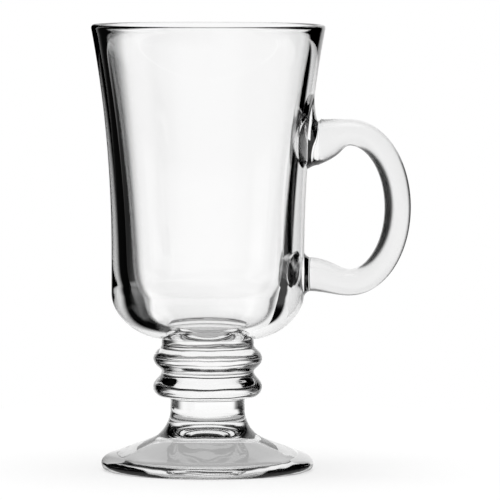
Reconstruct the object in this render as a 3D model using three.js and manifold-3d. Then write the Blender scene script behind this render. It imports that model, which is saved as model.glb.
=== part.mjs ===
// A footed coffee glass: a thick-walled flared bowl on two rounded knops, a waisted neck and a wide sloped foot,
// with a C-shaped handle welded to the bowl through two bosses.
// Millimetres, Z up. The glass's axis is Z, it stands on Z = 0, and the handle points along +X.
import * as THREE from 'three';
import { mergeVertices } from 'three/addons/utils/BufferGeometryUtils.js';
import Module from 'manifold-3d';

// Heights of the stacked pieces, from the table up
const FOOT_HEIGHT = 16;
const NECK_HEIGHT = 9;
const LOWER_KNOP_HEIGHT = 8.75;
const UPPER_KNOP_HEIGHT = 11.15;
const BOWL_HEIGHT = 107.1;

// Foot
const FOOT_RADIUS = 36.2;
const FOOT_WIDEST_HEIGHT = 2.5;
const FOOT_BASE_INSET = 2.1;
const FOOT_SHOULDER_INSET = 2.9;
const FOOT_SHOULDER_HEIGHT = 5.45;
const SLOPE_TOP_RADIUS = 20;
const SLOPE_TOP_HEIGHT = 10.35;
const STANDING_RING_WIDTH = 5.1;
const HOLLOW_COVER = 1.2;

// Neck
const NECK_BASE_RADIUS = 13.85;
const NECK_RADIUS = 12.7;
const NECK_FILLET = 1.1;

// Knops
const KNOP_RADIUS = 18.6;
const GROOVE_RADIUS = 15.75;
const LOWER_KNOP_WIDEST = 3.45;
const LOWER_KNOP_UNDERSIDE_RADIUS = 15.2;
const UPPER_KNOP_WIDEST = 4.4;
const COLLAR_HEIGHT = 2.3;

// Bowl, with heights measured from the bowl's own base
const BOWL_RADIUS = 32.9;
const RIM_RADIUS = 39.9;
const LIP_THICKNESS = 2.4;
const WALL_THICKNESS = 6.9;
const BOTTOM_THICKNESS = 4.6;
const FLAT_FLOOR_RADIUS = 3.4;
const BELLY_HEIGHT = 15.6;
const FLARE_START = 28.1;
const FLARE_BEND = 69.1;
const INNER_BELLY_HEIGHT = 27.1;

// Handle: an oval rod, with heights measured from the bowl's base
const ROD_THICKNESS = 9;
const ROD_WIDTH = 11;
const BOW_MIDDLE_HEIGHT = 44.9;
const BOW_HALF_HEIGHT = 25.6;
const BOW_REACH = 16.45;
const ARM_LENGTH = 15.3;
const UPPER_ROOT_DROP = 3.7;
const UPPER_ROOT_THICKNESS = 15;
const UPPER_ROOT_WIDTH = 13;
const LOWER_ROOT_RISE = 2.75;
const LOWER_ROOT_THICKNESS = 11.5;
const LOWER_ROOT_WIDTH = 12;

// Bosses between the bowl's wall and the handle's roots
const UPPER_BOSS_PROUD = 3;
const LOWER_BOSS_PROUD = 2.2;
const BOSS_FLARE = 1.6;
const UPPER_BOSS_SWEEP = 8.5;
const BOSS_SINK = 5;
const JOINT_GAP = 0.3;

// Facets
const ROUND_SEGMENTS = 48;
const CURVE_STEPS = 8;
const ROD_SIDES = 24;
const BOW_STEPS = 28;
const ARM_STEPS = 8;
const BOSS_STEPS = 7;

const neckBase = FOOT_HEIGHT;
const lowerKnopBase = neckBase + NECK_HEIGHT;
const upperKnopBase = lowerKnopBase + LOWER_KNOP_HEIGHT;
const bowlBase = upperKnopBase + UPPER_KNOP_HEIGHT;
const bowlInnerRadius = BOWL_RADIUS - WALL_THICKNESS;
const lipCentreHeight = BOWL_HEIGHT - LIP_THICKNESS / 2;

const wasm = await Module();
wasm.setup();

function point(radius, height) {
  return new THREE.Vector2(radius, height);
}

// Points along a curve without its first one, which the profile already holds.
function follow(curve, steps) {
  return curve.getPoints(steps).slice(1);
}

function cubic(a, b, c, d, steps = CURVE_STEPS) {
  return follow(new THREE.CubicBezierCurve(a, b, c, d), steps);
}

function quadratic(a, b, c, steps = CURVE_STEPS) {
  return follow(new THREE.QuadraticBezierCurve(a, b, c), steps);
}

// An S curve between two radii that leaves and arrives parallel to the axis.
function ogee(a, b, leave, arrive) {
  const rise = b.y - a.y;
  return cubic(a, point(a.x, a.y + rise * leave), point(b.x, b.y - rise * arrive), b);
}

// Turns a profile of radius and height, which starts and ends on the axis, into a solid round Z.
function turned(profile) {
  const geometry = new THREE.LatheGeometry(profile, ROUND_SEGMENTS);
  geometry.rotateX(Math.PI / 2);
  return geometry;
}

function piece(name, geometry) {
  const material = new THREE.MeshStandardMaterial({
    color: 0xe9f1f2,
    roughness: 0.03,
    metalness: 0,
    transparent: true,
    opacity: 0.45,
  });
  const mesh = new THREE.Mesh(geometry, material);
  mesh.name = name;
  return mesh;
}

function footGeometry() {
  const ring = point(FOOT_RADIUS - FOOT_BASE_INSET, 0);
  const widest = point(FOOT_RADIUS, FOOT_WIDEST_HEIGHT);
  const shoulder = point(FOOT_RADIUS - FOOT_SHOULDER_INSET, FOOT_SHOULDER_HEIGHT);
  const slopeTop = point(SLOPE_TOP_RADIUS, SLOPE_TOP_HEIGHT);
  const top = point(NECK_BASE_RADIUS, FOOT_HEIGHT);
  const slope = slopeTop.clone().sub(shoulder).normalize();
  const rise = FOOT_HEIGHT - SLOPE_TOP_HEIGHT;
  const crown = point(0, FOOT_HEIGHT - HOLLOW_COVER);
  const hollowEdge = point(ring.x - STANDING_RING_WIDTH, 0);
  return turned([
    crown,
    ...cubic(
      crown,
      point(hollowEdge.x * 0.4, crown.y),
      point(hollowEdge.x * 0.7, crown.y * 0.4),
      hollowEdge,
      7,
    ),
    ring,
    ...quadratic(ring, point(FOOT_RADIUS, 0), widest, 6),
    ...cubic(
      widest,
      point(FOOT_RADIUS, (widest.y + shoulder.y) / 2),
      shoulder.clone().addScaledVector(slope, -FOOT_SHOULDER_INSET / 2),
      shoulder,
      6,
    ),
    slopeTop,
    ...cubic(
      slopeTop,
      slopeTop.clone().addScaledVector(slope, rise * 0.56),
      point(top.x + rise * 0.17, top.y - rise * 0.42),
      top,
    ),
    point(0, FOOT_HEIGHT),
  ]);
}

function neckGeometry() {
  const bottom = point(NECK_BASE_RADIUS, 0);
  const waist = point(NECK_RADIUS, NECK_HEIGHT / 2);
  const filletStart = point(NECK_RADIUS, NECK_HEIGHT - NECK_FILLET);
  const top = point(NECK_RADIUS + NECK_FILLET, NECK_HEIGHT);
  return turned([
    point(0, 0),
    bottom,
    ...quadratic(bottom, point(NECK_RADIUS, NECK_HEIGHT / 4), waist, 5),
    filletStart,
    ...quadratic(filletStart, point(NECK_RADIUS, NECK_HEIGHT), top, 4),
    point(0, NECK_HEIGHT),
  ]);
}

function lowerKnopGeometry() {
  const underside = point(LOWER_KNOP_UNDERSIDE_RADIUS, 0);
  const widest = point(KNOP_RADIUS, LOWER_KNOP_WIDEST);
  const groove = point(GROOVE_RADIUS, LOWER_KNOP_HEIGHT);
  const turnIn = (KNOP_RADIUS + LOWER_KNOP_UNDERSIDE_RADIUS) / 2;
  return turned([
    point(0, 0),
    underside,
    ...cubic(underside, point(turnIn, 0), point(KNOP_RADIUS, LOWER_KNOP_WIDEST * 0.4), widest),
    ...ogee(widest, groove, 0.43, 0.36),
    point(0, LOWER_KNOP_HEIGHT),
  ]);
}

function upperKnopGeometry() {
  const groove = point(GROOVE_RADIUS, 0);
  const widest = point(KNOP_RADIUS, UPPER_KNOP_WIDEST);
  const collar = point(GROOVE_RADIUS, UPPER_KNOP_HEIGHT - COLLAR_HEIGHT);
  return turned([
    point(0, 0),
    groove,
    ...ogee(groove, widest, 0.25, 0.55),
    ...ogee(widest, collar, 0.55, 0.25),
    point(GROOVE_RADIUS, UPPER_KNOP_HEIGHT),
    point(0, UPPER_KNOP_HEIGHT),
  ]);
}

// The bowl's outer line from its base to the lip, moved out by a clearance.
function bowlOuterLine(clearance = 0) {
  const base = point(GROOVE_RADIUS, 0);
  const belly = point(BOWL_RADIUS, BELLY_HEIGHT);
  const flare = point(BOWL_RADIUS, FLARE_START);
  const lip = point(RIM_RADIUS, lipCentreHeight);
  const spread = BOWL_RADIUS - GROOVE_RADIUS;
  const line = [
    base,
    ...cubic(
      base,
      point(base.x + spread * 0.475, BELLY_HEIGHT * 0.045),
      point(BOWL_RADIUS, BELLY_HEIGHT * 0.46),
      belly,
      10,
    ),
    flare,
    ...quadratic(flare, point(BOWL_RADIUS, FLARE_BEND), lip, 12),
  ];
  return line.map((p) => point(p.x + clearance, p.y));
}

function bowlGeometry() {
  const lipRadius = LIP_THICKNESS / 2;
  const lipCentre = point(RIM_RADIUS - lipRadius, lipCentreHeight);
  const lip = new THREE.EllipseCurve(lipCentre.x, lipCentre.y, lipRadius, lipRadius, 0, Math.PI);
  const innerLip = point(RIM_RADIUS - LIP_THICKNESS, lipCentreHeight);
  const innerBelly = point(bowlInnerRadius, INNER_BELLY_HEIGHT);
  const floorEdge = point(FLAT_FLOOR_RADIUS, BOTTOM_THICKNESS);
  const flare = innerLip.x - innerBelly.x;
  const rise = innerLip.y - innerBelly.y;
  const depth = innerBelly.y - BOTTOM_THICKNESS;
  return turned([
    point(0, 0),
    ...bowlOuterLine(),
    ...follow(lip, 6),
    ...cubic(
      innerLip,
      point(innerLip.x - flare * 0.435, innerLip.y - rise * 0.122),
      point(innerBelly.x + flare * 0.139, innerBelly.y + rise * 0.395),
      innerBelly,
      9,
    ),
    ...cubic(
      innerBelly,
      point(innerBelly.x * 0.969, innerBelly.y - depth * 0.68),
      point(innerBelly.x * 0.885, BOTTOM_THICKNESS),
      floorEdge,
      9,
    ),
    point(0, BOTTOM_THICKNESS),
  ]);
}

// The bowl's outer radius at a height above its base.
function wallRadius(height) {
  const line = bowlOuterLine();
  const within = THREE.MathUtils.clamp(height, 0, lipCentreHeight);
  const above = Math.max(1, line.findIndex((p) => p.y >= within));
  const a = line[above - 1];
  const b = line[above];
  return THREE.MathUtils.mapLinear(within, a.y, b.y, a.x, b.x);
}

// The middle of each root: where the handle's end face stands on its boss.
function handleRoots() {
  const upperHeight = BOW_MIDDLE_HEIGHT + BOW_HALF_HEIGHT - UPPER_ROOT_DROP;
  const lowerHeight = BOW_MIDDLE_HEIGHT - BOW_HALF_HEIGHT + LOWER_ROOT_RISE;
  return {
    upper: point(wallRadius(upperHeight) + UPPER_BOSS_PROUD, upperHeight),
    lower: point(wallRadius(lowerHeight) + LOWER_BOSS_PROUD, lowerHeight),
  };
}

// One arm's centre line and half sizes, from its root to where the bow starts. It arrives level and with the
// bow's own curvature, and its first section stands square on the boss.
function armSections(root, end, rootThickness, rootWidth) {
  const run = end.x - root.x;
  const rise = end.y - root.y;
  const bowBend = (BOW_HALF_HEIGHT / BOW_REACH ** 2) * run ** 2;
  const leave = Math.sign(rise) * Math.max(0, 3 * Math.abs(rise) - bowBend / 2);
  const sections = [];
  for (let i = 0; i < ARM_STEPS; i += 1) {
    const share = i / ARM_STEPS;
    const eased = THREE.MathUtils.smoothstep(share, 0, 1);
    const slope = 6 * share * (1 - share) * rise + (1 - share) * (1 - 3 * share) * leave;
    sections.push({
      x: root.x + run * share,
      z: root.y + rise * eased + leave * share * (1 - share) ** 2,
      turn: Math.atan(slope / run) * THREE.MathUtils.smoothstep(share, 0, 0.5),
      thick: THREE.MathUtils.lerp(rootThickness, ROD_THICKNESS, eased) / 2,
      wide: THREE.MathUtils.lerp(rootWidth, ROD_WIDTH, eased) / 2,
    });
  }
  return sections;
}

// Sections of the whole rod: along the upper arm, round the bow, and back along the lower arm.
function handleSections() {
  const roots = handleRoots();
  const bowX = BOWL_RADIUS + ARM_LENGTH;
  const upperEnd = point(bowX, BOW_MIDDLE_HEIGHT + BOW_HALF_HEIGHT);
  const lowerEnd = point(bowX, BOW_MIDDLE_HEIGHT - BOW_HALF_HEIGHT);
  const upper = armSections(roots.upper, upperEnd, UPPER_ROOT_THICKNESS, UPPER_ROOT_WIDTH);
  const lower = armSections(roots.lower, lowerEnd, LOWER_ROOT_THICKNESS, LOWER_ROOT_WIDTH);
  const bow = [];
  for (let i = 0; i <= BOW_STEPS; i += 1) {
    const angle = Math.PI / 2 - (Math.PI * i) / BOW_STEPS;
    bow.push({
      x: bowX + BOW_REACH * Math.cos(angle),
      z: BOW_MIDDLE_HEIGHT + BOW_HALF_HEIGHT * Math.sin(angle),
      turn: Math.atan2(-BOW_HALF_HEIGHT * Math.cos(angle), BOW_REACH * Math.sin(angle)),
      thick: ROD_THICKNESS / 2,
      wide: ROD_WIDTH / 2,
    });
  }
  const back = lower.reverse().map((s) => ({ ...s, turn: s.turn - Math.PI }));
  return [...upper, ...bow, ...back];
}

// One oval of a rod, square to its centre line. It can reach further above the line than below it.
function oval(section) {
  const ring = [];
  for (let i = 0; i < ROD_SIDES; i += 1) {
    const angle = (2 * Math.PI * i) / ROD_SIDES;
    const lift = Math.sin(angle) > 0 ? section.thick + (section.above ?? 0) : section.thick;
    const across = lift * Math.sin(angle);
    ring.push(
      new THREE.Vector3(
        section.x - across * Math.sin(section.turn),
        section.wide * Math.cos(angle),
        section.z + across * Math.cos(section.turn),
      ),
    );
  }
  return ring;
}

// Skins a run of rings and closes both ends.
function skinned(rings) {
  const vertices = rings.flat();
  const faces = [];
  const last = (rings.length - 1) * ROD_SIDES;
  for (let r = 0; r < rings.length - 1; r += 1) {
    for (let i = 0; i < ROD_SIDES; i += 1) {
      const a = r * ROD_SIDES + i;
      const b = r * ROD_SIDES + ((i + 1) % ROD_SIDES);
      faces.push(a, b, a + ROD_SIDES, b, b + ROD_SIDES, a + ROD_SIDES);
    }
  }
  for (let i = 1; i < ROD_SIDES - 1; i += 1) {
    faces.push(0, i + 1, i, last, last + i, last + i + 1);
  }
  const geometry = new THREE.BufferGeometry().setFromPoints(vertices);
  geometry.setIndex(faces);
  geometry.computeVertexNormals();
  return geometry;
}

function solid(geometry) {
  const bare = geometry.clone();
  bare.deleteAttribute('normal');
  bare.deleteAttribute('uv');
  const merged = mergeVertices(bare, 1e-3);
  const mesh = new wasm.Mesh({
    numProp: 3,
    vertProperties: merged.attributes.position.array,
    triVerts: new Uint32Array(merged.index.array),
  });
  return new wasm.Manifold(mesh);
}

function geometryOf(manifold) {
  const mesh = manifold.getMesh();
  const geometry = new THREE.BufferGeometry();
  geometry.setAttribute('position', new THREE.BufferAttribute(mesh.vertProperties, mesh.numProp));
  geometry.setIndex(new THREE.BufferAttribute(mesh.triVerts, 1));
  geometry.computeVertexNormals();
  return geometry;
}

// A boss fills the space from the handle's end face to the wall, and spreads like a fillet as it nears the wall.
function bossGeometry(root, thickness, width, sweep) {
  const rings = [];
  for (let i = BOSS_STEPS; i >= 0; i -= 1) {
    const share = i / BOSS_STEPS;
    const spread = share * share;
    const ring = oval({
      x: root.x,
      z: root.y,
      turn: 0,
      thick: thickness / 2 + BOSS_FLARE * spread,
      wide: width / 2 + BOSS_FLARE * spread,
      above: sweep * spread,
    });
    for (const p of ring) {
      p.x = THREE.MathUtils.lerp(root.x, wallRadius(p.z), share);
    }
    rings.push(ring);
  }
  const sunk = rings[0].map((p) => new THREE.Vector3(p.x - BOSS_SINK, p.y, p.z));
  const bar = solid(skinned([sunk, ...rings]));
  const line = bowlOuterLine(JOINT_GAP);
  const wall = turned([point(0, 0), ...line, point(0, lipCentreHeight)]);
  return geometryOf(bar.subtract(solid(wall)));
}

const roots = handleRoots();

const foot = piece('foot', footGeometry());
const neck = piece('neck', neckGeometry());
neck.position.z = neckBase;
const lowerKnop = piece('lower_knop', lowerKnopGeometry());
lowerKnop.position.z = lowerKnopBase;
const upperKnop = piece('upper_knop', upperKnopGeometry());
upperKnop.position.z = upperKnopBase;

const bowl = piece('bowl', bowlGeometry());
const upperBoss = piece(
  'upper_boss',
  bossGeometry(roots.upper, UPPER_ROOT_THICKNESS, UPPER_ROOT_WIDTH, UPPER_BOSS_SWEEP),
);
const lowerBoss = piece('lower_boss', bossGeometry(roots.lower, LOWER_ROOT_THICKNESS, LOWER_ROOT_WIDTH, 0));
const handle = piece('handle', skinned(handleSections().map(oval)));

const cup = new THREE.Group();
cup.position.z = bowlBase;
cup.add(bowl, upperBoss, lowerBoss, handle);

const coffeeGlass = new THREE.Group();
coffeeGlass.add(foot, neck, lowerKnop, upperKnop, cup);

export default coffeeGlass;
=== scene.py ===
import math

import bpy
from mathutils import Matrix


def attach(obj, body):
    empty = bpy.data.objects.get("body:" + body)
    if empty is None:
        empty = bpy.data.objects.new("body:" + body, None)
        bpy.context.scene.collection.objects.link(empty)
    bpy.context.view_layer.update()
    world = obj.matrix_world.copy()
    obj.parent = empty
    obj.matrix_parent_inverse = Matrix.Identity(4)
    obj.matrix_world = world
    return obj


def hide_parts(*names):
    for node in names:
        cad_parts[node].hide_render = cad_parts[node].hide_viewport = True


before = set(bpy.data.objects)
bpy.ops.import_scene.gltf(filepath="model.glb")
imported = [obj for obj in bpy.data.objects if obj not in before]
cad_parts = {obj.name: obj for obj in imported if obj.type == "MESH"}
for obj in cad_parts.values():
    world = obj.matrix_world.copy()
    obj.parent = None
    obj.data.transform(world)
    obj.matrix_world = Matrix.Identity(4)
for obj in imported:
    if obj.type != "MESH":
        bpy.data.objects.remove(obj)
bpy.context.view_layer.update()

# The camera stands nearly two metres in front of the glass, a little above its rim, with a long lens.
# It looks square at the handle's plane and slightly down, and leans a seventh of a degree.
MM = 0.001
camera_place = (14.05 * MM, -1910 * MM, 199 * MM)
camera_dip = 3.71
camera_lean = -0.14
camera_lens = 404.1
camera_film_width = 36
camera_sight = 50
bpy.ops.object.select_all(action="DESELECT")
bpy.ops.object.camera_add(
    location=camera_place,
    rotation=(math.radians(90 - camera_dip), math.radians(camera_lean), 0),
)
camera = bpy.context.object
camera.name = "camera"
camera.data.sensor_width = camera_film_width
camera.data.lens = camera_lens
camera.data.clip_end = camera_sight
bpy.context.scene.camera = camera

# The foot is a wide pressed disc with a thick rounded edge, a gentle slope and a cove up to the neck.
# It is clear glass, fire-polished, hollowed underneath by the plunger, and stands on a flat ring round that hollow.
ROUND_SIDES = 224
CREASE = math.radians(30)
GLASS_INDEX = 1.52
GLASS, FUSED = 0, 1


def bend(start, pull_a, pull_b, end, steps):
    """Points of one drawn curve from start to end, without its first point."""
    points = []
    for i in range(1, steps + 1):
        t = i / steps
        u = 1 - t
        points.append(tuple(
            u ** 3 * a + 3 * u * u * t * b + 3 * u * t * t * c + t ** 3 * d
            for a, b, c, d in zip(start, pull_a, pull_b, end)
        ))
    return points


def arc(start, pull, end, steps):
    """Points of a curve that turns once, towards pull, without its first point."""
    pull_a = tuple(a + (p - a) * 2 / 3 for a, p in zip(start, pull))
    pull_b = tuple(b + (p - b) * 2 / 3 for b, p in zip(end, pull))
    return bend(start, pull_a, pull_b, end, steps)


def line(start, end, steps):
    """Points of a straight run, without its first point."""
    return [
        tuple(a + (b - a) * i / steps for a, b in zip(start, end))
        for i in range(1, steps + 1)
    ]


def pick(piece):
    """Selects this piece alone and makes it the active one."""
    bpy.ops.object.select_all(action="DESELECT")
    piece.select_set(True)
    bpy.context.view_layer.objects.active = piece


def draw_up(name, rings):
    """A round blank as wide as the first ring, drawn out ring by ring, with both ends closed."""
    bpy.ops.object.select_all(action="DESELECT")
    radius, height = rings[0]
    bpy.ops.mesh.primitive_circle_add(
        vertices=ROUND_SIDES, radius=radius * MM, fill_type="NGON", location=(0, 0, height * MM)
    )
    piece = bpy.context.object
    piece.name = piece.data.name = name
    bpy.ops.object.transform_apply(location=True, rotation=False, scale=False)
    bpy.ops.object.mode_set(mode="EDIT")
    bpy.ops.mesh.select_mode(type="FACE")
    bpy.ops.mesh.select_all(action="SELECT")
    for (from_radius, from_height), (to_radius, to_height) in zip(rings, rings[1:]):
        bpy.ops.mesh.extrude_region_move(
            TRANSFORM_OT_translate={"value": (0, 0, (to_height - from_height) * MM)}
        )
        grow = to_radius / from_radius
        bpy.ops.transform.resize(value=(grow, grow, 1), center_override=(0, 0, to_height * MM))
    bpy.ops.mesh.select_all(action="SELECT")
    bpy.ops.mesh.normals_make_consistent(inside=False)
    bpy.ops.object.mode_set(mode="OBJECT")
    return piece


def clear_glass(name, ripple_size, ripple_depth, haze=0, tint=1):
    """Clear pressed glass, with the soft ripple that the mould and the fire leave on its surface."""
    material = bpy.data.materials.new(name)
    material.use_nodes = True
    nodes = material.node_tree.nodes
    links = material.node_tree.links
    shader = nodes["Principled BSDF"]
    shader.inputs["Base Color"].default_value = (tint, tint, tint, 1)
    shader.inputs["Roughness"].default_value = haze
    shader.inputs["IOR"].default_value = GLASS_INDEX
    shader.inputs["Transmission Weight"].default_value = 1
    place = nodes.new("ShaderNodeTexCoord")
    ripple = nodes.new("ShaderNodeTexNoise")
    ripple.inputs["Scale"].default_value = 1 / (ripple_size * MM)
    ripple.inputs["Detail"].default_value = 1
    ripple.inputs["Roughness"].default_value = 0.4
    swell = nodes.new("ShaderNodeBump")
    swell.inputs["Strength"].default_value = 1
    swell.inputs["Distance"].default_value = ripple_depth * MM
    links.new(place.outputs["Object"], ripple.inputs["Vector"])
    links.new(ripple.outputs["Fac"], swell.inputs["Height"])
    links.new(swell.outputs["Normal"], shader.inputs["Normal"])
    return material


weld = bpy.data.materials.new("fused_joint")
weld.use_nodes = True
weld.node_tree.nodes.clear()
weld_clear = weld.node_tree.nodes.new("ShaderNodeBsdfTransparent")
weld_out = weld.node_tree.nodes.new("ShaderNodeOutputMaterial")
weld.node_tree.links.new(weld_clear.outputs["BSDF"], weld_out.inputs["Surface"])


def is_end(face):
    """True for the many-sided face that closes a blank."""
    return len(face.vertices) > 4


def finish_glass(piece, material, joint_heights=None):
    """Polishes a piece and marks the end faces where it is fused to others: all, or those at these heights."""
    piece.data.materials.append(material)
    piece.data.materials.append(weld)
    for face in piece.data.polygons:
        at_joint = joint_heights is None or any(
            abs(face.center.z - height * MM) < 1e-6 for height in joint_heights
        )
        if is_end(face) and at_joint:
            face.material_index = FUSED
    pick(piece)
    bpy.ops.object.shade_smooth_by_angle(angle=CREASE)


def join_glass(piece, node):
    """Sets a finished piece in the place of its plain solid."""
    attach(piece, "root")
    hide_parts(node)


hollow_crown = (0.2, 14.8)
hollow_edge = (29.0, 0.0)
standing_edge = (34.1, 0.0)
foot_edge = (36.2, 2.5)
foot_shoulder = (33.3, 5.45)
slope_top = (20.0, 10.35)
foot_top = (13.85, 16.0)
foot_rings = [hollow_crown]
foot_rings += bend(hollow_crown, (11.6, 14.8), (20.3, 5.92), hollow_edge, 48)
foot_rings += line(hollow_edge, standing_edge, 5)
foot_rings += arc(foot_rings[-1], (36.2, 0.0), foot_edge, 14)
foot_rings += bend(foot_edge, (36.2, 3.98), (34.66, 4.95), foot_shoulder, 14)
foot_rings += line(foot_shoulder, slope_top, 16)
foot_rings += bend(slope_top, (17.03, 11.44), (14.81, 13.63), foot_top, 30)
foot = draw_up("foot", foot_rings)
foot_glass = clear_glass("foot_glass", ripple_size=10, ripple_depth=0.28)
finish_glass(foot, foot_glass, [foot_top[1]])
join_glass(foot, "foot")

# The neck is the short waisted stem between the foot and the knops, the glass's narrowest place.
# It is solid glass, drawn in while hot and fused to the foot and to the lower knop.
neck_waist = (12.7, 20.5)
neck_fillet = (12.7, 23.9)
neck_top = (13.8, 25.0)
neck_rings = [foot_top]
neck_rings += arc(foot_top, (12.7, 18.25), neck_waist, 16)
neck_rings += line(neck_rings[-1], neck_fillet, 8)
neck_rings += arc(neck_rings[-1], (12.7, 25.0), neck_top, 10)
neck = draw_up("neck", neck_rings)
neck_glass = clear_glass("neck_glass", ripple_size=14, ripple_depth=0.3)
finish_glass(neck, neck_glass, [foot_top[1], neck_top[1]])
join_glass(neck, "neck")

# The lower knop is the ring above the neck, with a flat underside and a soft round belly.
# It is pressed in one mould with the ring above it, and narrows to the groove that parts them.


def ogee(start, end, leave, arrive, steps):
    """A curve that leaves start and reaches end upright, by these shares of the rise."""
    rise = end[1] - start[1]
    pull_a = (start[0], start[1] + leave * rise)
    pull_b = (end[0], end[1] - arrive * rise)
    return bend(start, pull_a, pull_b, end, steps)


knop_underside = (15.2, 25.0)
lower_belly = (18.6, 28.45)
groove = (15.75, 33.75)
lower_knop_rings = [neck_rings[-1]]
lower_knop_rings += line(lower_knop_rings[-1], knop_underside, 4)
lower_knop_rings += bend(lower_knop_rings[-1], (16.9, 25.0), (18.6, 26.38), lower_belly, 22)
lower_knop_rings += ogee(lower_belly, groove, leave=0.43, arrive=0.36, steps=26)
lower_knop = draw_up("lower_knop", lower_knop_rings)
knop_glass = clear_glass("knop_glass", ripple_size=12, ripple_depth=0.9)
finish_glass(lower_knop, knop_glass, [knop_underside[1], groove[1]])
join_glass(lower_knop, "lower_knop")

# The upper knop is the second ring, a little taller, with the collar above it that carries the bowl.
# It is solid glass, and its collar runs straight into the bowl's round bottom.
upper_belly = (18.6, 38.15)
collar = (15.75, 42.6)
bowl_base = (15.75, 44.9)
upper_knop_rings = [groove]
upper_knop_rings += ogee(groove, upper_belly, leave=0.25, arrive=0.55, steps=26)
upper_knop_rings += ogee(upper_belly, collar, leave=0.55, arrive=0.25, steps=26)
upper_knop_rings += line(collar, bowl_base, 6)
upper_knop = draw_up("upper_knop", upper_knop_rings)
finish_glass(upper_knop, knop_glass, [groove[1], bowl_base[1]])
join_glass(upper_knop, "upper_knop")

# The bowl is the thick-walled cup, round at the bottom and flared to a fire-polished lip.
# It is blown into a mould, so its wall is heavy low down and thin at the lip, and ripples slightly.
belly = (32.9, 60.5)
flare_start = (32.9, 73.0)
rim = (39.9, 150.8)
lip_radius = 1.2
lip_steps = 14
inner_rim = (37.5, 150.8)
inner_belly = (26.0, 72.0)
floor_edge = (3.4, 49.5)
floor_middle = (0.15, 49.5)
bowl_rings = [bowl_base]
bowl_rings += bend(bowl_base, (23.9, 45.6), (32.9, 52.08), belly, 36)
bowl_rings += line(belly, flare_start, 8)
bowl_rings += arc(flare_start, (32.9, 114.0), rim, 44)
for lip_step in range(1, lip_steps):
    lip_turn = math.pi * lip_step / lip_steps
    bowl_rings.append((
        rim[0] - lip_radius + lip_radius * math.cos(lip_turn),
        rim[1] + lip_radius * math.sin(lip_turn),
    ))
bowl_rings += [inner_rim]
bowl_rings += bend(inner_rim, (32.5, 141.2), (27.6, 103.1), inner_belly, 44)
bowl_rings += bend(inner_belly, (25.2, 56.7), (23.0, 49.5), floor_edge, 40)
bowl_rings += line(floor_edge, floor_middle, 4)
bowl = draw_up("bowl", bowl_rings)
bowl_glass = clear_glass("bowl_glass", ripple_size=24, ripple_depth=0.02)
finish_glass(bowl, bowl_glass, [bowl_base[1]])
join_glass(bowl, "bowl")

# The two bosses are the weld pads that carry the handle, the upper one swept up along the wall.
# They are hot glass run out between the rod's ends and the bowl, so they spread where they meet it.
ROD_SIDES = 72
CUT = 2


def rod_blank(name, x, z, wide, thick):
    """The oval end of a rod, standing square to X."""
    bpy.ops.object.select_all(action="DESELECT")
    bpy.ops.mesh.primitive_circle_add(
        vertices=ROD_SIDES, radius=MM, fill_type="NGON", rotation=(0, math.radians(90), 0)
    )
    piece = bpy.context.object
    piece.name = piece.data.name = name
    bpy.ops.object.transform_apply(location=False, rotation=True, scale=False)
    bpy.ops.object.mode_set(mode="EDIT")
    bpy.ops.mesh.select_mode(type="FACE")
    bpy.ops.mesh.select_all(action="SELECT")
    bpy.ops.transform.resize(value=(1, wide, thick), center_override=(0, 0, 0))
    bpy.ops.transform.translate(value=(x * MM, 0, z * MM))
    return piece


def draw_rod(stations):
    """Draws the open blank out from station to station: (x, z, turn, wide, thick), in millimetres and radians."""
    for (x0, z0, turn0, wide0, thick0), (x1, z1, turn1, wide1, thick1) in zip(stations, stations[1:]):
        middle = (x1 * MM, 0, z1 * MM)
        bpy.ops.mesh.extrude_region_move(
            TRANSFORM_OT_translate={"value": ((x1 - x0) * MM, 0, (z1 - z0) * MM)}
        )
        thicken = thick1 / thick0
        bpy.ops.transform.resize(value=(thicken, wide1 / wide0, thicken), center_override=middle)
        if turn1 != turn0:
            bpy.ops.transform.rotate(value=turn1 - turn0, orient_axis="Y", center_override=middle)
    bpy.ops.mesh.select_all(action="SELECT")
    bpy.ops.mesh.normals_make_consistent(inside=False)
    bpy.ops.object.mode_set(mode="OBJECT")


def copy_of(piece, face_slot):
    """A copy with its own mesh and all its faces in one slot."""
    twin = piece.copy()
    twin.data = piece.data.copy()
    bpy.context.collection.objects.link(twin)
    for face in twin.data.polygons:
        face.material_index = face_slot
    return twin


def carve(piece, tool, operation):
    """Cuts a piece with a tool, so that each face keeps its slot."""
    pick(piece)
    modifier = piece.modifiers.new("carve", "BOOLEAN")
    modifier.operation = operation
    modifier.solver = "EXACT"
    modifier.material_mode = "INDEX"
    modifier.object = tool
    bpy.ops.object.modifier_apply(modifier=modifier.name)


def drop_cut_faces(piece):
    """Deletes the faces that a cut took over from the bowl."""
    for part in (*piece.data.vertices, *piece.data.edges):
        part.select = False
    for face in piece.data.polygons:
        face.select = face.material_index == CUT
    pick(piece)
    bpy.ops.object.mode_set(mode="EDIT")
    bpy.ops.mesh.select_mode(type="FACE")
    bpy.ops.mesh.delete(type="FACE")
    bpy.ops.object.mode_set(mode="OBJECT")


def boss_stations(root, wide, thick, wall_x, wall_turn, flare, sweep, sink):
    """The boss from the handle's end face to the wall, spreading like a fillet, and on into the wall."""
    stations = []
    steps = 14
    for i in range(steps + 1):
        share = i / steps
        spread = share * share
        stations.append((
            root[0] + (wall_x - root[0]) * share,
            root[1] + sweep / 2 * spread,
            wall_turn * share,
            wide + flare * spread,
            thick + (flare + sweep / 2) * spread,
        ))
    x, z, turn, last_wide, last_thick = stations[-1]
    stations.append((x - sink, z, turn, last_wide, last_thick))
    return stations


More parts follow.
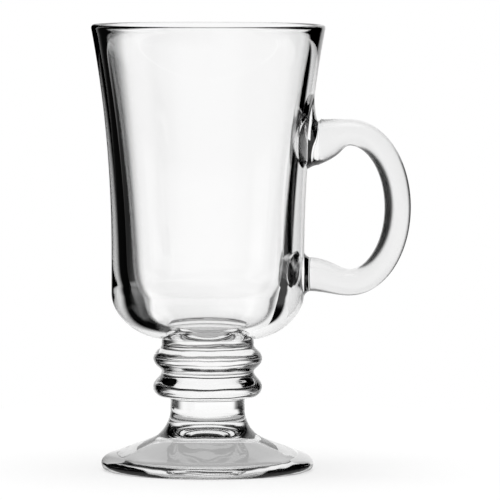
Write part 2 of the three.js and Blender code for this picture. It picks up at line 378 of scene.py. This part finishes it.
def fuse_boss(name, stations):
    """Makes a boss, cuts its seat in the bowl, and keeps it as glass outside the wall and a fused face inside."""
    blank = rod_blank(name + "_blank", *stations[0][:2], *stations[0][3:])
    draw_rod(stations)
    for face in blank.data.polygons:
        face.use_smooth = True
    for material in (boss_glass, weld, weld):
        blank.data.materials.append(material)
    wall = copy_of(bowl, CUT)
    outside = copy_of(blank, GLASS)
    outside.name = outside.data.name = name
    for face in outside.data.polygons:
        if is_end(face):
            face.material_index = FUSED
    inside = copy_of(blank, FUSED)
    seat = copy_of(blank, FUSED)
    carve(outside, wall, "DIFFERENCE")
    carve(inside, wall, "INTERSECT")
    carve(bowl, seat, "DIFFERENCE")
    drop_cut_faces(outside)
    drop_cut_faces(inside)
    pick(outside)
    inside.select_set(True)
    bpy.ops.object.join()
    bpy.ops.object.mode_set(mode="EDIT")
    bpy.ops.mesh.select_all(action="SELECT")
    bpy.ops.mesh.remove_doubles(threshold=1e-6)
    bpy.ops.object.mode_set(mode="OBJECT")
    bpy.ops.object.shade_smooth_by_angle(angle=CREASE)
    for spare in (blank, wall, seat):
        bpy.data.objects.remove(spare)
    return outside


boss_glass = clear_glass("boss_glass", ripple_size=9, ripple_depth=0.04)
boss_flare = 1.6
upper_root = (37.55, 111.7)
upper_root_wide = 6.5
upper_root_thick = 7.5
lower_root = (35.1, 66.95)
lower_root_wide = 6.0
lower_root_thick = 5.75
upper_boss_stations = boss_stations(
    upper_root, upper_root_wide, upper_root_thick,
    wall_x=34.95, wall_turn=math.radians(-5.56), flare=boss_flare, sweep=8.5, sink=2.0,
)
lower_boss_stations = boss_stations(
    lower_root, lower_root_wide, lower_root_thick,
    wall_x=32.85, wall_turn=0, flare=boss_flare, sweep=0, sink=2.6,
)
upper_boss = fuse_boss("upper_boss", upper_boss_stations)
join_glass(upper_boss, "upper_boss")
lower_boss = fuse_boss("lower_boss", lower_boss_stations)
join_glass(lower_boss, "lower_boss")
pick(bowl)
bpy.ops.object.shade_smooth_by_angle(angle=CREASE)

# The handle is a rod of oval section bent to a C while soft, thickest where it leaves the bosses.
# It is solid glass, a touch milky, because the pulled rod cools with a fine skin.
BOW_MIDDLE = (48.2, 89.8)
BOW_REACH = 16.45
BOW_HALF_HEIGHT = 25.6
ROD_WIDE = 5.5
ROD_THICK = 4.5
ARM_STEPS = 24
ARM_TURNED_BY = 0.5


def ease(share):
    """A share that starts and ends gently."""
    share = min(max(share, 0), 1)
    return share * share * (3 - 2 * share)


def arm_stations(root, root_wide, root_thick, end_z):
    """One arm, from its boss to where the bow starts, where it arrives level and bent like the bow."""
    run = BOW_MIDDLE[0] - root[0]
    rise = end_z - root[1]
    bow_bend = BOW_HALF_HEIGHT / BOW_REACH ** 2 * run ** 2
    leave = math.copysign(max(0, 3 * abs(rise) - bow_bend / 2), rise)
    stations = []
    for i in range(ARM_STEPS):
        share = i / ARM_STEPS
        slope = 6 * share * (1 - share) * rise + (1 - share) * (1 - 3 * share) * leave
        stations.append((
            root[0] + run * share,
            root[1] + rise * ease(share) + leave * share * (1 - share) ** 2,
            math.atan(slope / run) * ease(share / ARM_TURNED_BY),
            root_wide + (ROD_WIDE - root_wide) * ease(share),
            root_thick + (ROD_THICK - root_thick) * ease(share),
        ))
    return stations


bow_steps = 84
handle_stations = arm_stations(
    upper_root, upper_root_wide, upper_root_thick, BOW_MIDDLE[1] + BOW_HALF_HEIGHT
)
for bow_step in range(bow_steps + 1):
    bow_angle = math.pi / 2 - math.pi * bow_step / bow_steps
    handle_stations.append((
        BOW_MIDDLE[0] + BOW_REACH * math.cos(bow_angle),
        BOW_MIDDLE[1] + BOW_HALF_HEIGHT * math.sin(bow_angle),
        math.atan2(-BOW_HALF_HEIGHT * math.cos(bow_angle), BOW_REACH * math.sin(bow_angle)),
        ROD_WIDE,
        ROD_THICK,
    ))
lower_arm = arm_stations(
    lower_root, lower_root_wide, lower_root_thick, BOW_MIDDLE[1] - BOW_HALF_HEIGHT
)
for x, z, turn, wide, thick in reversed(lower_arm):
    handle_stations.append((x, z, turn - math.pi, wide, thick))
handle = rod_blank("handle", *handle_stations[0][:2], *handle_stations[0][3:])
draw_rod(handle_stations)
handle_glass = clear_glass("handle_glass", ripple_size=9, ripple_depth=0.04, haze=0.24, tint=0.9)
finish_glass(handle, handle_glass)
join_glass(handle, "handle")

# The table is a plain white round top, matt, and only as wide as the light round the glass needs.
# It is stage: the glass stands on it and leaves its shadow there.
# What the glass bends of it glows with painted light instead of being lit: painted shade at the sides, a painted shadow
# under the foot, and it fades into the tent towards the table's edge.


def matt_paint(name, light):
    """A matt paint of one grey, without gloss."""
    paint = bpy.data.materials.new(name)
    paint.use_nodes = True
    shader = paint.node_tree.nodes["Principled BSDF"]
    shader.inputs["Base Color"].default_value = (light, light, light, 1)
    shader.inputs["Roughness"].default_value = 1
    shader.inputs["Specular IOR Level"].default_value = 0
    return paint


def reckon(tree, operation, first, second):
    """One sum of a node's value with another value or a plain number."""
    node = tree.nodes.new("ShaderNodeMath")
    node.operation = operation
    tree.links.new(first, node.inputs[0])
    if isinstance(second, (int, float)):
        node.inputs[1].default_value = second
    else:
        tree.links.new(second, node.inputs[1])
    return node.outputs["Value"]


def soft_step(tree, value, start, end):
    """Nought up to start and one from end on, eased between them."""
    step = tree.nodes.new("ShaderNodeMapRange")
    step.interpolation_type = "SMOOTHSTEP"
    step.inputs["From Min"].default_value = start
    step.inputs["From Max"].default_value = end
    tree.links.new(value, step.inputs["Value"])
    return step.outputs["Result"]


def blend(tree, factor, first, second):
    """Two brightnesses mixed, each a node's or a plain number."""
    mix = tree.nodes.new("ShaderNodeMix")
    mix.data_type = "RGBA"
    tree.links.new(factor, mix.inputs["Factor"])
    for name, value in (("A", first), ("B", second)):
        if isinstance(value, float):
            mix.inputs[name].default_value = (value, value, value, 1)
        else:
            tree.links.new(value, mix.inputs[name])
    return mix.outputs["Result"]


def layer(tree, factor, first, second):
    """Two surfaces mixed."""
    mix = tree.nodes.new("ShaderNodeMixShader")
    tree.links.new(factor, mix.inputs["Fac"])
    tree.links.new(first, mix.inputs[1])
    tree.links.new(second, mix.inputs[2])
    return mix.outputs["Shader"]


def light_by_turn(tree, direction, marks):
    """Brightness by the turn round the glass, in degrees from straight behind it, towards the handle positive."""
    parts = tree.nodes.new("ShaderNodeSeparateXYZ")
    tree.links.new(direction, parts.inputs["Vector"])
    share = tree.nodes.new("ShaderNodeMapRange")
    share.inputs["From Min"].default_value = -math.pi
    share.inputs["From Max"].default_value = math.pi
    turn = reckon(tree, "ARCTAN2", parts.outputs["X"], parts.outputs["Y"])
    tree.links.new(turn, share.inputs["Value"])
    ramp = tree.nodes.new("ShaderNodeValToRGB")
    elements = ramp.color_ramp.elements
    while len(elements) > 1:
        elements.remove(elements[-1])
    for count, (degrees, light) in enumerate(marks):
        position = (degrees + 180) / 360
        mark = elements.new(position) if count else elements[0]
        mark.position = position
        mark.color = (light, light, light, 1)
    tree.links.new(share.outputs["Result"], ramp.inputs["Fac"])
    return ramp.outputs["Color"]


def seen_in_glass(tree):
    """One for what the camera sees bent or mirrored by the glass and nought for all other rays, and one for its own."""
    ray = tree.nodes.new("ShaderNodeLightPath").outputs
    either = reckon(tree, "MAXIMUM", ray["Is Glossy Ray"], ray["Is Transmission Ray"])
    first_hand = reckon(tree, "LESS_THAN", ray["Diffuse Depth"], 0.5)
    return reckon(tree, "MULTIPLY", either, first_hand), ray["Is Camera Ray"]


table_radius = 0.235
# The painted shadow under the foot's hollow, seen only in the glass: how far it reaches and how light it is.
painted_foot_shadow_reach = (0.022, 0.034)
painted_foot_shadow_light = (0.46, 0.64)
table_under_foot = (0.036, 0.044)
table_near_to_far = (0.058, 0.074)
table_edge = (0.12, 0.225)
table_plain_white = 0.65
bpy.ops.object.select_all(action="DESELECT")
bpy.ops.mesh.primitive_circle_add(vertices=96, radius=table_radius, fill_type="NGON", location=(0, 0, 0))
table = bpy.context.object
table.name = "table"
table_paint = matt_paint("table_paint", 1)
table_tree = table_paint.node_tree
table_nodes = table_tree.nodes
table_place = table_nodes.new("ShaderNodeTexCoord").outputs["Object"]
table_length = table_nodes.new("ShaderNodeVectorMath")
table_length.operation = "LENGTH"
table_tree.links.new(table_place, table_length.inputs[0])
table_reach = table_length.outputs["Value"]
# Under the foot's hollow the table is painted darker for the glass: a painted shadow, lighter towards the hollow's
# edge.
painted_foot_shadow = table_nodes.new("ShaderNodeMapRange")
painted_foot_shadow.inputs["From Min"].default_value = painted_foot_shadow_reach[0]
painted_foot_shadow.inputs["From Max"].default_value = painted_foot_shadow_reach[1]
painted_foot_shadow.inputs["To Min"].default_value = painted_foot_shadow_light[0]
painted_foot_shadow.inputs["To Max"].default_value = painted_foot_shadow_light[1]
table_tree.links.new(table_reach, painted_foot_shadow.inputs["Value"])
# As the glass sees it, the table is painted in sectors round the glass: painted light behind it, painted shade at its
# sides, near the foot and further out.
table_near = light_by_turn(table_tree, table_place, [
    (-180, 0.04), (-46, 0.02), (-37, 1.0), (64, 1.0), (76, 0.02), (180, 0.04),
])
table_far = light_by_turn(table_tree, table_place, [
    (-180, 0.4), (-150, 0.1), (-118, 0.1), (-108, 0.95), (-84, 0.95), (-76, 0.02), (-46, 0.02),
    (-37, 1.0), (64, 1.0), (76, 0.02), (100, 0.02), (112, 0.95), (160, 0.95), (180, 0.4),
])
table_open = blend(table_tree, soft_step(table_tree, table_reach, *table_near_to_far), table_near, table_far)
table_painted_light = blend(
    table_tree, soft_step(table_tree, table_reach, *table_under_foot), painted_foot_shadow.outputs["Result"], table_open
)
# For the glass the table glows with this painted light and shade, so it is not lit by the tent there.
table_painted_glow = table_nodes.new("ShaderNodeEmission")
table_tree.links.new(table_painted_light, table_painted_glow.inputs["Color"])
table_clear = table_nodes.new("ShaderNodeBsdfTransparent")
table_bent = layer(
    table_tree, soft_step(table_tree, table_reach, *table_edge),
    table_painted_glow.outputs["Emission"], table_clear.outputs["BSDF"],
)
table_in_glass, table_in_view = seen_in_glass(table_tree)
table_lit = layer(table_tree, table_in_glass, table_nodes["Principled BSDF"].outputs["BSDF"], table_bent)
table_white = table_nodes.new("ShaderNodeEmission")
table_share = reckon(table_tree, "MULTIPLY", table_in_view, table_plain_white)
table_seen = layer(table_tree, table_share, table_lit, table_white.outputs["Emission"])
table_tree.links.new(table_seen, table_nodes["Material Output"].inputs["Surface"])
table.data.materials.append(table_paint)

# Two tall black cards stand behind the glass, a narrow one close on its left and a wide one further off on its right.
# A square one hangs above it. They are matt, and the standing ones are feathered at the inner edge.
# They are stage: the camera doesn't see them, only their bent and mirrored images in the glass.


def hide_card(card):
    """Leaves a card in sight of the glass alone."""
    card.visible_camera = False
    card.visible_diffuse = False
    card.visible_shadow = False


card_height = 190
for card_name, card_inner, card_outer, card_feather in (
    ("left_card", (-31.5, 28), (-66, 28), 13),
    ("right_card", (76, 69), (190, 55), 12),
):
    card_run = math.dist(card_inner, card_outer)
    card_turn = math.atan2(card_outer[1] - card_inner[1], card_outer[0] - card_inner[0])
    card_middle = [(inner + outer) / 2 * MM for inner, outer in zip(card_inner, card_outer)]
    bpy.ops.object.select_all(action="DESELECT")
    bpy.ops.mesh.primitive_plane_add(
        size=MM,
        location=(*card_middle, card_height / 2 * MM),
        rotation=(math.radians(90), 0, card_turn),
    )
    card = bpy.context.object
    card.name = card_name
    card.scale = (card_run, card_height, 1)
    card_black = matt_paint(card_name, 0)
    card_tree = card_black.node_tree
    card_nodes = card_tree.nodes
    card_place = card_nodes.new("ShaderNodeTexCoord")
    card_parts = card_nodes.new("ShaderNodeSeparateXYZ")
    card_tree.links.new(card_place.outputs["Object"], card_parts.inputs["Vector"])
    card_edge = soft_step(
        card_tree, card_parts.outputs["X"], -0.5 * MM, (card_feather / card_run - 0.5) * MM
    )
    card_open = card_nodes.new("ShaderNodeBsdfTransparent")
    card_seen = layer(
        card_tree, card_edge, card_open.outputs["BSDF"], card_nodes["Principled BSDF"].outputs["BSDF"]
    )
    card_tree.links.new(card_seen, card_nodes["Material Output"].inputs["Surface"])
    card.data.materials.append(card_black)
    hide_card(card)
roof_size = 0.3
roof_place = (0, -0.01, 0.275)
bpy.ops.object.select_all(action="DESELECT")
bpy.ops.mesh.primitive_plane_add(size=roof_size, location=roof_place)
roof_card = bpy.context.object
roof_card.name = "roof_card"
roof_card.data.materials.append(matt_paint("roof_card", 0))
hide_card(roof_card)

# The studio is a light tent: white for the camera, with a soft light overhead for the table.
# What the glass bends and mirrors has the tent's dark roof and its dark gaps at the sides, which draw the edges.
scene = bpy.context.scene
world = bpy.data.worlds.new("light_tent")
scene.world = world
world.use_nodes = True
tent_tree = world.node_tree
tent = tent_tree.nodes
tent.clear()
tent_direction = tent.new("ShaderNodeTexCoord").outputs["Generated"]
tent_parts = tent.new("ShaderNodeSeparateXYZ")
tent_tree.links.new(tent_direction, tent_parts.inputs["Vector"])
tent_height = tent_parts.outputs["Z"]
tent_walls = light_by_turn(tent_tree, tent_direction, [
    (-180, 0.9), (-146, 0.9), (-128, 0.5), (-120, 0.1), (-114, 0.5), (-108, 0.9), (-84, 0.9),
    (-78, 0.3), (-72, 0.02), (-44, 0.02), (-39, 0.2), (-34, 0.9), (-30, 1.0), (13, 1.0),
    (14.5, 0.96), (30, 0.96), (34, 0.8), (38, 0.45), (42, 0.12), (46, 0.02), (60, 0.02),
    (66, 0.3), (76, 0.9), (112, 1.0), (180, 0.9),
])
tent_upper = light_by_turn(tent_tree, tent_direction, [
    (-180, 0.35), (-150, 0.35), (-130, 0.02), (-46, 0.02), (-41, 0.3), (-36, 0.9), (-31, 1.0),
    (30, 1.0), (34, 0.8), (38, 0.45), (42, 0.12), (46, 0.02), (130, 0.02), (150, 0.35), (180, 0.35),
])


def risen(start, end):
    """How far a direction has risen from one height above the level to a higher one, in degrees."""
    return soft_step(tent_tree, tent_height, math.sin(math.radians(start)), math.sin(math.radians(end)))


tent_ground_light = 1.0
tent_roof_light = 0.04
tent_white = 1.0
overhead_narrowness = 8
overhead_light = 5.4
tent_low = blend(tent_tree, risen(-26, -20), tent_ground_light, tent_walls)
tent_sides = blend(tent_tree, risen(-4, 0), tent_low, tent_upper)
tent_pattern = blend(tent_tree, risen(38, 46), tent_sides, tent_roof_light)
tent_up = reckon(tent_tree, "MAXIMUM", tent_height, 0)
overhead = reckon(tent_tree, "POWER", tent_up, overhead_narrowness)
overhead_glow = reckon(tent_tree, "MULTIPLY", overhead, overhead_light)
tent_in_glass, tent_in_view = seen_in_glass(tent_tree)
tent_plain = blend(tent_tree, tent_in_view, overhead_glow, tent_white)
tent_glow = tent.new("ShaderNodeBackground")
tent_tree.links.new(blend(tent_tree, tent_in_glass, tent_plain, tent_pattern), tent_glow.inputs["Color"])
tent_out = tent.new("ShaderNodeOutputWorld")
tent_tree.links.new(tent_glow.outputs["Background"], tent_out.inputs["Surface"])

# The light is followed through every wall of the glass, but mirrored inside it only once.
# What would be mirrored more often stays dark, as the stem's deep corners are.
scene.cycles.max_bounces = 10
scene.cycles.transmission_bounces = 8
scene.cycles.glossy_bounces = 2
scene.cycles.transparent_max_bounces = 64
scene.view_settings.view_transform = "Standard"
